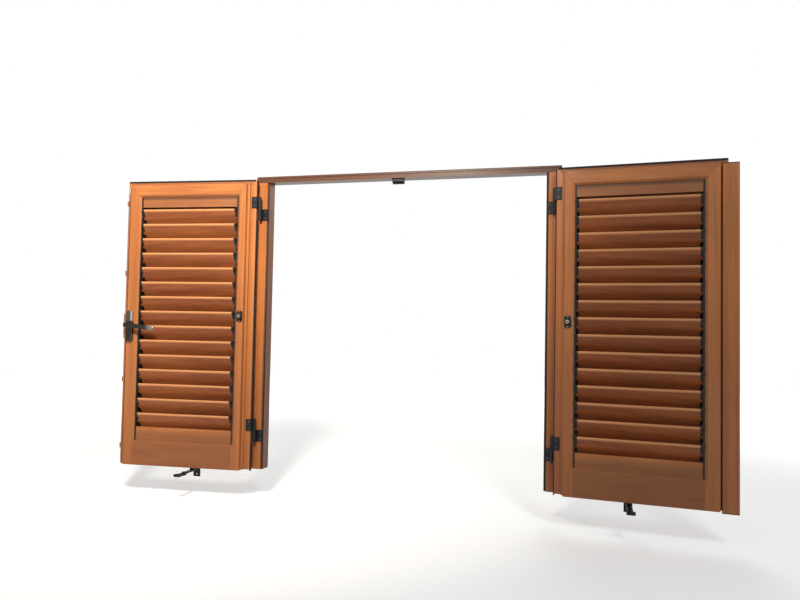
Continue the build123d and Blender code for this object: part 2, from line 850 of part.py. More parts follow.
# Hold-backs: the arm and its wall plate stay still, and the catch at its end turns
arm_mid = right_leaf.from_local_coords((holdback_from_axis, 0, 0))
arm_x = arm_mid.X
leaf_front = right_leaf.from_local_coords(
    (holdback_from_axis + catch_head_width / 2, face_depth, 0)
)
catch_y = leaf_front.Y - catch_gap_to_leaf - catch_thickness / 2
catch_z = leaf_bottom - arm_below_leaf
fork_half = catch_stem_width / 2 + turning_gap
with BuildPart() as holdback_arm:
    with BuildSketch(Plane.YZ.offset(arm_x - fork_half - fork_cheek)):
        with Locations((catch_y, catch_z)):
            Circle(catch_barrel_radius)
        with Locations((catch_y - fork_reach, catch_z)):
            Rectangle(
                front_y - catch_y + fork_reach,
                arm_thickness,
                align=(Align.MIN, Align.CENTER),
            )
        with Locations((catch_y - fork_reach, catch_z)):
            Rectangle(
                fork_reach,
                catch_thickness / 2 + turning_gap + fork_floor,
                align=(Align.MIN, Align.MAX),
            )
    extrude(amount=2 * (fork_half + fork_cheek))
    with BuildSketch(Plane.YZ.offset(arm_x - fork_half)):
        with Locations((catch_y, catch_z)):
            Circle(catch_barrel_radius + turning_gap)
        with Locations((catch_y - fork_reach, catch_z - catch_thickness / 2 - turning_gap)):
            Rectangle(
                fork_reach,
                catch_thickness + arm_thickness,
                align=(Align.MIN, Align.MIN),
            )
        with Locations((catch_y, catch_z)):
            Rectangle(
                catch_thickness / 2 + turning_gap,
                catch_thickness + arm_thickness,
                align=(Align.MIN, Align.MIN),
            )
    extrude(amount=2 * fork_half, mode=Mode.SUBTRACT)
    with BuildSketch(Plane.YZ.offset(arm_x - fork_half - fork_cheek)):
        with Locations((catch_y, catch_z)):
            Circle(catch_pin_radius)
    extrude(amount=2 * (fork_half + fork_cheek))
    with BuildSketch(Plane.XZ.offset(-front_y)):
        with Locations((arm_x, catch_z)):
            Rectangle(wall_plate_width, wall_plate_height)
            with GridLocations(0, wall_plate_hole_spacing, 1, 2):
                Circle(wall_plate_hole_radius, mode=Mode.SUBTRACT)
    extrude(amount=wall_plate_thickness)
    block(
        holdback_from_axis - arm_width / 2,
        holdback_from_axis + arm_width / 2,
        pad_gap,
        pad_gap + pad_depth,
        catch_z,
        leaf_bottom + pad_height,
    )

with BuildPart() as holdback_arms:
    add(holdback_arm.part)
    mirror(holdback_arm.part, about=Plane.YZ)

# Catch: drawn lowered, so that it points away from the wall and lets the leaf pass
with BuildPart() as catch:
    with BuildSketch(Plane.YZ.offset(arm_x - catch_stem_width / 2)):
        with Locations((catch_y, catch_z)):
            Circle(catch_barrel_radius)
    extrude(amount=catch_stem_width)
    with BuildSketch(Plane.XY.offset(catch_z - catch_thickness / 2)):
        with Locations((arm_x, catch_y)):
            Rectangle(
                catch_stem_width,
                catch_stem_length + catch_head_radius,
                align=(Align.CENTER, Align.MAX),
            )
        with Locations((arm_x, catch_y - catch_stem_length - catch_head_length / 2)):
            RectangleRounded(catch_head_width, catch_head_length, catch_head_radius)
    extrude(amount=catch_thickness)
    with BuildSketch(Plane.YZ.offset(arm_x - catch_stem_width / 2)):
        with Locations((catch_y, catch_z)):
            Circle(catch_pin_radius + catch_pin_clearance)
    extrude(amount=catch_stem_width, mode=Mode.SUBTRACT)

save(holdback_arms, "holdback_arms")
save_pair(catch, "catch")
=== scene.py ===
"""Pair of brown wood-look aluminium louvred shutters, folded back on their frame."""
import math

import bmesh
import bpy
from mathutils import Matrix, Vector


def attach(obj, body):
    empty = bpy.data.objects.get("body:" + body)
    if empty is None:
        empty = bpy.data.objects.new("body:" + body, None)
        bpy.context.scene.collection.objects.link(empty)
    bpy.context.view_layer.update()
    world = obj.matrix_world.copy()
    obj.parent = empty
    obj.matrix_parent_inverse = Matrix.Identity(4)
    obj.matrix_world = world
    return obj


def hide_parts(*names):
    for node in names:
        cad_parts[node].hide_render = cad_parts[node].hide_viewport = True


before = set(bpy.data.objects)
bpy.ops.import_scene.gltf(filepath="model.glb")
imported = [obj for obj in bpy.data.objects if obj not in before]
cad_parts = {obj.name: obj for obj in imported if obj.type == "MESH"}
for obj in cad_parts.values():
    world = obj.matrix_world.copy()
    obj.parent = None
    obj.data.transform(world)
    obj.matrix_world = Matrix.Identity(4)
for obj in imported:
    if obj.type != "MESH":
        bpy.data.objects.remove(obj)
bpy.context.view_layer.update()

# The view: a camera a little right of the middle, at half the height of the shutters, that looks
# slightly to the left and up. The lens is the photograph's own, for a picture 800 wide.
camera_place = Vector((0.6758, -2.58607, -0.60688))
camera_yaw = 0.2552996
camera_pitch = 0.0419277
camera_roll = -0.0089263
picture_width = 800
focal_pixels = 680
sensor_width = 36.0

camera_data = bpy.data.cameras.new("camera")
camera_data.sensor_width = sensor_width
camera_data.lens = focal_pixels / picture_width * sensor_width
camera = bpy.data.objects.new("camera", camera_data)
bpy.context.scene.collection.objects.link(camera)
turn_roll = Matrix(((math.cos(camera_roll), 0, math.sin(camera_roll)), (0, 1, 0),
                    (-math.sin(camera_roll), 0, math.cos(camera_roll))))
turn_pitch = Matrix(((1, 0, 0), (0, math.cos(camera_pitch), -math.sin(camera_pitch)),
                     (0, math.sin(camera_pitch), math.cos(camera_pitch))))
turn_yaw = Matrix(((math.cos(camera_yaw), -math.sin(camera_yaw), 0),
                   (math.sin(camera_yaw), math.cos(camera_yaw), 0), (0, 0, 1)))
turned = turn_roll @ turn_pitch @ turn_yaw
right, forward, up = turned.col[0], turned.col[1], turned.col[2]
camera_turn = Matrix((right, up, -forward)).transposed().to_4x4()
camera.matrix_world = Matrix.Translation(camera_place) @ camera_turn
bpy.context.scene.camera = camera
bpy.context.scene.view_settings.view_transform = "Standard"


# Stiles of the leaves, and the astragal that covers the gap between them: aluminium bars, powder
# coated and then printed with a fine brown wood grain that runs along each bar. They are painted
# darker towards the foot, a painted shade for light that falls off downwards.
class Worth:
    """A number or a colour of a finish, so that sums on it are plain arithmetic."""

    def __init__(self, finish, socket):
        self.finish = finish
        self.socket = socket

    def sum(self, operation, first, second):
        return self.finish.node("ShaderNodeMath", {"operation": operation}, {0: first, 1: second})

    def __add__(self, other):
        return self.sum("ADD", self, other)

    def __radd__(self, other):
        return self.sum("ADD", other, self)

    def __sub__(self, other):
        return self.sum("SUBTRACT", self, other)

    def __rsub__(self, other):
        return self.sum("SUBTRACT", other, self)

    def __mul__(self, other):
        return self.sum("MULTIPLY", self, other)

    def __rmul__(self, other):
        return self.sum("MULTIPLY", other, self)

    def __abs__(self):
        return self.sum("ABSOLUTE", self, 0.0)


class Finish:
    """A finish that is worked out from each point's place on the object."""

    def __init__(self, owner):
        owner.use_nodes = True
        self.owner = owner
        self.tree = owner.node_tree
        self.tree.nodes.clear()

    def node(self, kind, settings, sockets, out=0):
        node = self.tree.nodes.new(kind)
        for key, value in settings.items():
            setattr(node, key, value)
        for key, value in sockets.items():
            if isinstance(value, Worth):
                self.tree.links.new(value.socket, node.inputs[key])
            else:
                node.inputs[key].default_value = value
        return Worth(self, node.outputs[out]) if node.outputs else None

    def place(self):
        return self.node("ShaderNodeTexCoord", {}, {}, "Object")

    def parts(self):
        place = self.place()
        return [self.node("ShaderNodeSeparateXYZ", {}, {0: place}, axis) for axis in "XYZ"]

    def mix(self, share, first, second):
        return self.node("ShaderNodeMix", {"data_type": "RGBA"}, {0: share, 6: first, 7: second}, 2)

    def noise(self, scale, stretch=(1.0, 1.0, 1.0), detail=3.0, roughness=0.6):
        placed = self.node("ShaderNodeMapping", {}, {"Vector": self.place(), "Scale": stretch})
        return self.node("ShaderNodeTexNoise", {}, {"Vector": placed, "Scale": scale,
                                                    "Detail": detail, "Roughness": roughness})

    def smooth_step(self, worth, low, high):
        return self.node("ShaderNodeMapRange", {"interpolation_type": "SMOOTHSTEP"},
                         {"Value": worth, "From Min": low, "From Max": high})

    def bump(self, height, distance, strength):
        return self.node("ShaderNodeBump", {}, {"Height": height, "Distance": distance,
                                                "Strength": strength})

    def shade(self, **sockets):
        surface = self.node("ShaderNodeBsdfPrincipled", {}, sockets)
        self.node("ShaderNodeOutputMaterial", {}, {"Surface": surface})
        return self.owner


def new_finish(name):
    return Finish(bpy.data.materials.new(name))


def colour(red, green, blue):
    """A colour as it looks on screen, from 0 to 255, as the shader wants it."""
    def linear(value):
        value /= 255
        return value / 12.92 if value <= 0.04045 else ((value + 0.055) / 1.055) ** 2.4
    return (linear(red), linear(green), linear(blue), 1.0)


def coat(name, material):
    """Give a bar or fitting one finish all over."""
    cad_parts[name].material_slots[0].material = material


grain_stretch = 0.018
streak_scale, band_scale, slow_scale = 340.0, 55.0, 1.7


def wood_grain(finish, along, tones):
    """The printed grain: long fine streaks, wider bands and a slow change of tone."""
    light, middle, dark = tones
    stretch = [1.0, 1.0, 1.0]
    stretch["XYZ".index(along)] = grain_stretch
    streaks = finish.noise(streak_scale, stretch, 4.0)
    bands = finish.noise(band_scale, stretch, 3.0, 0.5)
    slow = finish.noise(slow_scale, detail=2.0, roughness=0.5)
    pale = finish.smooth_step(streaks * 0.5 + bands * 0.5, 0.36, 0.64)
    tone = finish.mix(pale, dark, middle)
    lighter = finish.smooth_step(slow * 0.6 + bands * 0.4, 0.40, 0.66) * 0.75
    return finish.mix(lighter, tone, light), pale, streaks


coat_sheen = 0.36
coat_specular = 0.32
grain_relief = 0.00012, 0.30
# Painted shade: the coat is darker towards the foot, where the light falls off.
foot_shade_heights = -1.10, -0.30
foot_shade_tone = colour(116, 69, 40)


def wood_coat(name, along, tones, roughness=coat_sheen, foot_shaded=0.0):
    finish = new_finish(name)
    tone, pale, streaks = wood_grain(finish, along, tones)
    low = 1.0 - finish.smooth_step(finish.parts()[2], *foot_shade_heights)
    return finish.shade(**{
        "Base Color": finish.mix(low * foot_shaded, tone, foot_shade_tone),
        "Roughness": roughness - pale * 0.05,
        "Specular IOR Level": coat_specular,
        "Normal": finish.bump(streaks, *grain_relief),
    })


leaf_tones = colour(190, 120, 66), colour(174, 106, 56), colour(150, 88, 45)
upright_coat = wood_coat("leaf_coat_upright", "Z", leaf_tones, foot_shaded=0.45)
for side in ("left", "right"):
    coat(side + "_hinge_stile", upright_coat)
    coat(side + "_free_stile", upright_coat)
coat("right_astragal", upright_coat)


# Rails: the same coated bars, run across and mitred to the stiles at the top. The thin panel under
# each top rail lies a step back. It is painted darker, a painted shade in the recess, with a
# painted shadow line in its upper corner, and the rails are painted darker at the foot as shade.
leaf_lean = math.radians(5.0)
axis_across, axis_depth = 0.590, -0.047


def depth_in_leaf(finish):
    """How far a point of an open leaf lies from its back, which is 0, out to its front, -0.046."""
    across, out, _ = finish.parts()
    return ((abs(across) - axis_across) * math.sin(leaf_lean)
            + (out - axis_depth) * math.cos(leaf_lean))


panel_step = -0.0405, -0.0375
panel_foot = -0.140, -0.130
corner_foot, corner_top = (-0.107, -0.098), (-0.093, -0.090)
rail_foot_shade_heights = -1.075, -1.035
recess_shade_tone, shadow_line_tone = colour(112, 70, 44), colour(48, 30, 21)

rail_finish = new_finish("leaf_coat_across")
rail_tone, rail_pale, rail_streaks = wood_grain(rail_finish, "X", leaf_tones)
rail_height = rail_finish.parts()[2]
stepped_back = rail_finish.smooth_step(depth_in_leaf(rail_finish), *panel_step)
# Painted shade in the stepped-back panel under the top rail
recess_shade = stepped_back * rail_finish.smooth_step(rail_height, *panel_foot) * 0.55
# Painted shade: darker at the foot of the leaf, and a little all over
rail_foot_shade = (1.0 - rail_finish.smooth_step(rail_height, *rail_foot_shade_heights)) * 0.60 + 0.18
# Painted shadow: a dark line in the panel's upper corner, under the rail
in_corner = rail_finish.smooth_step(rail_height, *corner_foot)
above_corner = rail_finish.smooth_step(rail_height, *corner_top)
painted_shadow_line = stepped_back * in_corner * (1.0 - above_corner) * 0.65
rail_tone = rail_finish.mix(rail_foot_shade, rail_tone, foot_shade_tone)
rail_tone = rail_finish.mix(recess_shade, rail_tone, recess_shade_tone)
across_coat = rail_finish.shade(**{
    "Base Color": rail_finish.mix(painted_shadow_line, rail_tone, shadow_line_tone),
    "Roughness": coat_sheen - rail_pale * 0.05 + recess_shade * 0.2,
    "Specular IOR Level": coat_specular,
    "Normal": rail_finish.bump(rail_streaks, *grain_relief),
})
for side in ("left", "right"):
    coat(side + "_top_rail", across_coat)
    coat(side + "_bottom_rail", across_coat)


# Mitres of the leaves' top corners: each joint closes to a hair line, which gathers dirt. It is a
# thin dark thread of sealant, let into the joint from the edge of the opening to the outer corner.
def leaf_to_room(side):
    """Turns a place on a leaf into its place at rest. A place on a leaf is given from the hinge
    axis: along the leaf, through it and up."""
    turn = Matrix(((math.cos(leaf_lean), math.sin(leaf_lean), 0, axis_across),
                   (-math.sin(leaf_lean), math.cos(leaf_lean), 0, axis_depth),
                   (0, 0, 1, 0),
                   (0, 0, 0, 1)))
    if side == "left":
        turn = Matrix.Scale(-1, 4, (1, 0, 0)) @ turn
    return turn


def made(name, work, material, body, place=None, smooth_angle=35.0):
    """A finished piece, with its place in its mesh, that moves with a body."""
    if place is not None:
        bmesh.ops.transform(work, matrix=place, verts=work.verts)
    bmesh.ops.recalc_face_normals(work, faces=work.faces)
    data = bpy.data.meshes.new(name)
    work.to_mesh(data)
    work.free()
    data.materials.append(material)
    data.shade_smooth()
    data.set_sharp_from_angle(angle=math.radians(smooth_angle))
    thing = bpy.data.objects.new(name, data)
    bpy.context.scene.collection.objects.link(thing)
    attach(thing, body)
    return thing


speckle_scale, patch_scale = 900.0, 35.0
speckle_relief = 0.00004, 0.5
patch_limits = 0.35, 0.7
plain_specular = 0.28


def plain_finish(name, tone, patch_tone, roughness, metallic=0.0):
    """Paint, plastic, rubber or bare metal, with a fine speckle and slow patches."""
    finish = new_finish(name)
    speckle = finish.noise(speckle_scale)
    patches = finish.noise(patch_scale)
    return finish.shade(**{
        "Base Color": finish.mix(finish.smooth_step(patches, *patch_limits), tone, patch_tone),
        "Roughness": roughness + patches * 0.12,
        "Metallic": metallic,
        "Specular IOR Level": plain_specular,
        "Normal": finish.bump(speckle, *speckle_relief),
    })


joint_sealant = plain_finish("joint_sealant", colour(60, 38, 24), colour(74, 47, 30), 0.6)
joint_radius = 0.00035
leaf_front = -0.046
mitres = (((0.0450, -0.0430), (0.0690, -0.0840)), ((0.5480, -0.0430), (0.5120, -0.0840)))
for side in ("left", "right"):
    work = bmesh.new()
    for start, end in mitres:
        run = Vector((end[0] - start[0], 0, end[1] - start[1]))
        thread = bmesh.ops.create_cone(work, cap_ends=True, segments=8, radius1=joint_radius,
                                       radius2=joint_radius, depth=run.length)
        turn = run.to_track_quat("Z", "Y").to_matrix().to_4x4()
        middle = Vector((start[0], leaf_front, start[1])) + run / 2
        bmesh.ops.transform(work, matrix=Matrix.Translation(middle) @ turn, verts=thread["verts"])
    made(side + "_mitre_joints", work, joint_sealant, side + "_leaf",
         leaf_to_room(side))


# The frame: a head on two jambs, of the same coated aluminium bars as the leaves. The jambs' inner
# edges and feet are painted darker, a painted shade, and the head is painted darkest, as shade.
jamb_tones = colour(188, 117, 64), colour(172, 104, 54), colour(154, 90, 46)
# Painted shade: the head's tones are a darker copy of the jambs'
head_shade_tones = colour(100, 62, 40), colour(90, 55, 35), colour(76, 46, 30)
inner_edge_shade_tone = colour(70, 33, 20)
inner_edge_across = 0.5610, 0.5685

jamb_finish = new_finish("jamb_coat")
jamb_tone, jamb_pale, jamb_streaks = wood_grain(jamb_finish, "Z", jamb_tones)
jamb_across, _, jamb_height = jamb_finish.parts()
# Painted shade along the jambs' inner edges
inner_edge_shade = 1.0 - jamb_finish.smooth_step(abs(jamb_across), *inner_edge_across)
# Painted shade towards the jambs' feet
jamb_foot_shade = 1.0 - jamb_finish.smooth_step(jamb_height, *foot_shade_heights)
jamb_tone = jamb_finish.mix(jamb_foot_shade * 0.55, jamb_tone, foot_shade_tone)
jamb_coat = jamb_finish.shade(**{
    "Base Color": jamb_finish.mix(inner_edge_shade * 0.75, jamb_tone, inner_edge_shade_tone),
    "Roughness": coat_sheen - jamb_pale * 0.05 + inner_edge_shade * 0.12,
    "Specular IOR Level": coat_specular,
    "Normal": jamb_finish.bump(jamb_streaks, *grain_relief),
})
coat("left_jamb", jamb_coat)
coat("right_jamb", jamb_coat)
coat("head_rail", wood_coat("head_coat_shaded", "X", head_shade_tones))


# Draught strips: soft black rubber with a rounded front, pressed into the step along the inner edge
# of each jamb, where the shut leaf stops.
def rectangle(work, width, length):
    bmesh.ops.create_grid(work, x_segments=1, y_segments=1, size=0.5)
    bmesh.ops.scale(work, verts=work.verts, vec=(width, length, 1))


def pull(work, faces, by):
    """Draw faces out in one direction."""
    raised = bmesh.ops.extrude_face_region(work, geom=faces)
    corners = [part for part in raised["geom"] if isinstance(part, bmesh.types.BMVert)]
    bmesh.ops.translate(work, verts=corners, vec=by)


def soften(work, parts, reach, steps, affect="EDGES"):
    """Round edges or corners off."""
    bmesh.ops.bevel(work, geom=parts, offset=reach, segments=steps, profile=0.5, affect=affect,
                    material=-1)


black_rubber = plain_finish("black_rubber", colour(16, 16, 16), colour(26, 25, 25), 0.62)
strip_inner, strip_outer = 0.5612, 0.5672
strip_back, strip_front = -0.0198, -0.0228
strip_foot, strip_top = -1.198, -0.030
strip_rounding = 0.0014
strip_across, strip_depth = (strip_inner + strip_outer) / 2, (strip_back + strip_front) / 2
for side, sign in (("left", -1), ("right", 1)):
    work = bmesh.new()
    rectangle(work, strip_outer - strip_inner, strip_back - strip_front)
    bmesh.ops.translate(work, verts=work.verts, vec=(sign * strip_across, strip_depth, strip_foot))
    pull(work, work.faces[:], (0, 0, strip_top - strip_foot))
    front = [edge for edge in work.edges
             if all(vert.co.y < strip_depth for vert in edge.verts)
             and abs(edge.verts[0].co.z - edge.verts[1].co.z) > 0.1]
    soften(work, front, strip_rounding, 4)
    made(side + "_draught_strip", work, black_rubber, "frame")


# Slats: thin aluminium blades with the same printed coat, painted in darker tones as shade, tilted
# on a pin at each end. The rounded upper edge has a painted highlight. The front of the lower edge,
# which lies in the shelter of the next blade, has painted shade.
slat_count = 15
slat_pitch = 0.060
first_slat = -0.176
slat_tilt = math.radians(33.0)
slat_middle_depth = -0.023
slat_sheen = 0.40
# Painted shade: the slats' tones are a darker copy of the stiles'
slat_shaded_tones = colour(158, 90, 48), colour(144, 79, 42), colour(124, 66, 35)
lower_edge_shade_tone, nose_highlight_tone = colour(48, 27, 18), colour(206, 146, 96)
lower_edge_shade_depths = -0.0105, -0.0070
nose_highlight_depths = -0.0450, -0.0428

slat_finish = new_finish("slat_coat")
slat_tone, slat_pale, slat_streaks = wood_grain(slat_finish, "X", slat_shaded_tones)
slat_depth = depth_in_leaf(slat_finish)
off_middle = ((slat_depth - slat_middle_depth) * math.cos(slat_tilt)
              + (slat_finish.parts()[2] - first_slat) * math.sin(slat_tilt))
half_row = slat_pitch * math.sin(slat_tilt) / 2
off_middle = slat_finish.node("ShaderNodeMath", {"operation": "WRAP"},
                              {0: off_middle, 1: half_row, 2: -half_row})
on_front = 1.0 - slat_finish.smooth_step(off_middle, -0.0005, 0.0005)
# Painted shade on the front of the lower edge, under the next blade
lower_edge_shade = slat_finish.smooth_step(slat_depth, *lower_edge_shade_depths) * 0.75 * on_front
# Painted highlight along the rounded upper edge
nose_highlight = (1.0 - slat_finish.smooth_step(slat_depth, *nose_highlight_depths)) * 0.7
slat_tone = slat_finish.mix(lower_edge_shade, slat_tone, lower_edge_shade_tone)
slat_coat = slat_finish.shade(**{
    "Base Color": slat_finish.mix(nose_highlight, slat_tone, nose_highlight_tone),
    "Roughness": slat_sheen - slat_pale * 0.05 + lower_edge_shade * 0.2 - nose_highlight * 0.12,
    "Specular IOR Level": 0.28,
    "Normal": slat_finish.bump(slat_streaks, *grain_relief),
})
slats = [(side, f"{side}_slat_{number:02d}", first_slat - (number - 1) * slat_pitch)
         for side in ("left", "right") for number in range(1, slat_count + 1)]
for _, slat, _ in slats:
    coat(slat, slat_coat)


# Slat caps: moulded black plastic, pressed on both ends of each slat and a little fuller than the
# blade. They carry its pins. Each pair is made in the slat's own section and then tilted with it.
black_plastic = plain_finish("black_plastic", colour(16, 15, 15), colour(26, 25, 24), 0.38)
slat_half_width = 0.0390
slat_nose = 0.0045
slat_start, slat_end = 0.0834, 0.4976
cap_proud = 0.0005
cap_width = 0.0085
cap_over_end = 0.0001
cap_rounding = 0.0004
cap_segments = 16


def slat_cap(work):
    """One cap, upright, with its outer end at the middle of the space."""
    nose = slat_nose + cap_proud
    ring = bmesh.ops.create_circle(work, cap_ends=True, segments=cap_segments,
                                   radius=nose)["verts"]
    on_end = Matrix(((0, 0, 1, 0), (1, 0, 0, 0), (0, 1, 0, 0), (0, 0, 0, 1)))
    half_step = Matrix.Rotation(math.pi / cap_segments, 4, "Z")
    bmesh.ops.transform(work, matrix=on_end @ half_step, verts=ring)
    for sign in (1, -1):
        end = [vert for vert in ring if vert.co.z * sign > 0]
        bmesh.ops.translate(work, verts=end,
                            vec=(0, 0, sign * (slat_half_width + cap_proud - nose)))
    pull(work, work.faces[:], (cap_width, 0, 0))
    rims = [edge for edge in work.edges if abs(edge.verts[0].co.x - edge.verts[1].co.x) < 1e-6]
    soften(work, rims, cap_rounding, 1)


for side, slat, height in slats:
    work = bmesh.new()
    slat_cap(work)
    twin = bmesh.ops.duplicate(work, geom=work.verts[:] + work.edges[:] + work.faces[:])
    far_cap = [part for part in twin["geom"] if isinstance(part, bmesh.types.BMVert)]
    apart = slat_end - slat_start - cap_width + 2 * cap_over_end
    bmesh.ops.translate(work, verts=far_cap, vec=(apart, 0, 0))
    settle = (Matrix.Translation((slat_start - cap_over_end, slat_middle_depth, height))
              @ Matrix.Rotation(slat_tilt, 4, "X"))
    made(slat + "_caps", work, black_plastic, slat, leaf_to_room(side) @ settle)


# Small black mouldings: the strips that the slats' pins turn in, the keeper that takes the upper
# rod and the astragal's end caps are the same plastic, screwed on or pushed in. The seals in the
# leaves' edges are rubber.
for side in ("left", "right"):
    coat(side + "_pivot_strips", black_plastic)
    coat(side + "_seals", black_rubber)
coat("head_keeper", black_plastic)
coat("right_astragal_caps", black_plastic)

# Knobs: moulded dark plastic with a faint metal sheen, on the shaft that tilts the slats. Each
# turns in a plate on the hinge stile.
knob_plastic = plain_finish("knob_plastic", colour(38, 36, 34), colour(60, 57, 54), 0.26, 0.35)
for side in ("left", "right"):
    coat(side + "_knob", knob_plastic)


# Knob trim: a bright steel bush round the socket in each knob, pressed in, and two small screws
# that hold the knob's plate to the stile.
def facing_front(along, depth, height):
    """Stands a shape that was drawn lying down at a place, with its top to the front."""
    return (Matrix.Translation((along, depth, height))
            @ Matrix.Rotation(math.radians(90), 4, "X"))


screw_taper, screw_rim, socket_depth = 0.78, 0.34, 0.7


def screw_head(work, place, radius, height):
    """A low screw head with a round socket, whose foot is at the place."""
    others = set(work.verts)
    head = bmesh.ops.create_cone(work, cap_ends=True, segments=18, radius1=radius,
                                 radius2=radius * screw_taper, depth=height)["verts"]
    ends = [face for face in work.faces if face.verts[0] in head and len(face.verts) > 4]
    top = max(ends, key=lambda face: face.calc_center_median().z)
    bmesh.ops.inset_region(work, faces=[top], thickness=radius * screw_rim)
    pull(work, [top], (0, 0, -height * socket_depth))
    bmesh.ops.delete(work, geom=[top], context="FACES_ONLY")
    bmesh.ops.transform(work, matrix=facing_front(*place) @ Matrix.Translation((0, 0, height / 2)),
                        verts=[vert for vert in work.verts if vert not in others])


bright_steel = plain_finish("bright_steel", colour(196, 194, 188), colour(168, 164, 156), 0.22,
                            1.0)
knob_along, knob_height, knob_front = 0.056, -0.580, -0.0621
bush_inner, bush_outer, bush_thickness, bush_rounding = 0.0034, 0.0056, 0.0009, 0.0004
knob_plate_front = -0.049
plate_screw_apart = 0.036
plate_screw_radius, plate_screw_height = 0.0024, 0.0013
for side in ("left", "right"):
    work = bmesh.new()
    for radius in (bush_outer, bush_inner):
        bmesh.ops.create_circle(work, segments=32, radius=radius)
    bmesh.ops.bridge_loops(work, edges=work.edges[:])
    pull(work, work.faces[:], (0, 0, bush_thickness))
    outer_rim = [edge for edge in work.edges
                 if all(vert.co.z > bush_thickness / 2
                        and abs(vert.co.xy.length - bush_outer) < 1e-5 for vert in edge.verts)]
    soften(work, outer_rim, bush_rounding, 2)
    made(side + "_knob_bush", work, bright_steel, side + "_knob",
         leaf_to_room(side) @ facing_front(knob_along, knob_front, knob_height))
    work = bmesh.new()
    for rise in (-plate_screw_apart / 2, plate_screw_apart / 2):
        screw_head(work, (knob_along, knob_plate_front, knob_height + rise), plate_screw_radius,
                   plate_screw_height)
    made(side + "_knob_plate_screws", work, bright_steel, side + "_leaf",
         leaf_to_room(side))


# Hinges: pressed steel plates and knuckles, painted black. They are held by bare zinc-plated
# screws, and a domed cap closes each end of a knuckle.
black_steel = plain_finish("black_steel", colour(17, 17, 18), colour(27, 27, 28), 0.32, 0.25)
zinc_steel = plain_finish("zinc_steel", colour(104, 102, 99), colour(82, 80, 77), 0.46, 1.0)
hinge_heights = (-0.137, -1.041)
half_hinge = 0.046
knuckle_gap = 0.0003
knuckle_radius = 0.0065
cap_radius, cap_rise = 0.97 * knuckle_radius, 0.0022
hinge_screw_apart = 0.026
hinge_screw_radius = 0.0036
frame_screw_across, frame_plate_front, frame_screw_height = 0.5735, -0.0300, 0.0009
leaf_screw_along, leaf_plate_front, leaf_screw_height = 0.0172, -0.0190, 0.0008
screw_rises = (-hinge_screw_apart / 2, hinge_screw_apart / 2)


def knuckle_cap(work, place):
    dome = bmesh.ops.create_uvsphere(work, u_segments=24, v_segments=12, radius=1.0)["verts"]
    bmesh.ops.scale(work, verts=dome, vec=(cap_radius, cap_radius, cap_rise))
    bmesh.ops.translate(work, verts=dome, vec=place)


coat("frame_hinges", black_steel)
work = bmesh.new()
for sign in (-1, 1):
    for height in hinge_heights:
        for rise in screw_rises:
            screw_head(work, (sign * frame_screw_across, frame_plate_front,
                              height - half_hinge / 2 + rise),
                       hinge_screw_radius, frame_screw_height)
made("frame_hinge_screws", work, zinc_steel, "frame")
work = bmesh.new()
for sign in (-1, 1):
    for height in hinge_heights:
        knuckle_cap(work, (sign * axis_across, axis_depth, height - half_hinge))
made("frame_hinge_caps", work, black_steel, "frame")
for side in ("left", "right"):
    coat(side + "_hinges", black_steel)
    work = bmesh.new()
    for height in hinge_heights:
        for rise in screw_rises:
            screw_head(work, (leaf_screw_along, leaf_plate_front,
                              height + knuckle_gap + half_hinge / 2 + rise),
                       hinge_screw_radius, leaf_screw_height)
    made(side + "_hinge_screws", work, zinc_steel, side + "_leaf", leaf_to_room(side))
    work = bmesh.new()
    for height in hinge_heights:
        knuckle_cap(work, (0, 0, height + half_hinge + knuckle_gap))
    made(side + "_hinge_caps", work, black_steel, side + "_leaf",
         leaf_to_room(side))


# Lock of the left leaf: the case and the guides screwed to the leaf's edge are coated like the
# leaf, and so are the two steel rods, whose ends are worn bare where they slide.
case_tones = colour(150, 94, 56), colour(132, 80, 46), colour(112, 67, 39)
bare_tone = colour(150, 147, 140)
rod_middle = -0.6225
worn_from_middle = 0.545, 0.560

coat("left_handle_case", wood_coat("case_coat", "Z", case_tones, 0.4))
rod_finish = new_finish("rod_coat")
rod_tone, _, rod_streaks = wood_grain(rod_finish, "Z", case_tones)
worn = rod_finish.smooth_step(abs(rod_finish.parts()[2] - rod_middle), *worn_from_middle)
rod_coat = rod_finish.shade(**{
    "Base Color": rod_finish.mix(worn, rod_tone, bare_tone),
    "Roughness": 0.40 - worn * 0.12,
    "Metallic": worn,
    "Normal": rod_finish.bump(rod_streaks, 0.0001, 0.3),
})
coat("left_upper_rod", rod_coat)
coat("left_lower_rod", rod_coat)


# Handle plate: a die-cast cover with rounded corners and a rounded rim, lacquered black. No screw
# shows on its front. A painted highlight lies on its rim above the lever and on the lever's tip.
plate_along, plate_height = 0.535, -0.628
plate_width, plate_length, plate_thickness = 0.0306, 0.1276, 0.0092
plate_corner, plate_rim = 0.006, 0.0022
above_lever_heights = -0.612, -0.600
inner_rim_across = -1.1140, -1.1100
lever_tip_across = -1.030, -0.998
painted_highlight_tone = colour(188, 182, 172)

lacquer = new_finish("handle_lacquer")
lacquer_patches = lacquer.noise(60.0)
lacquer_across, _, lacquer_height = lacquer.parts()
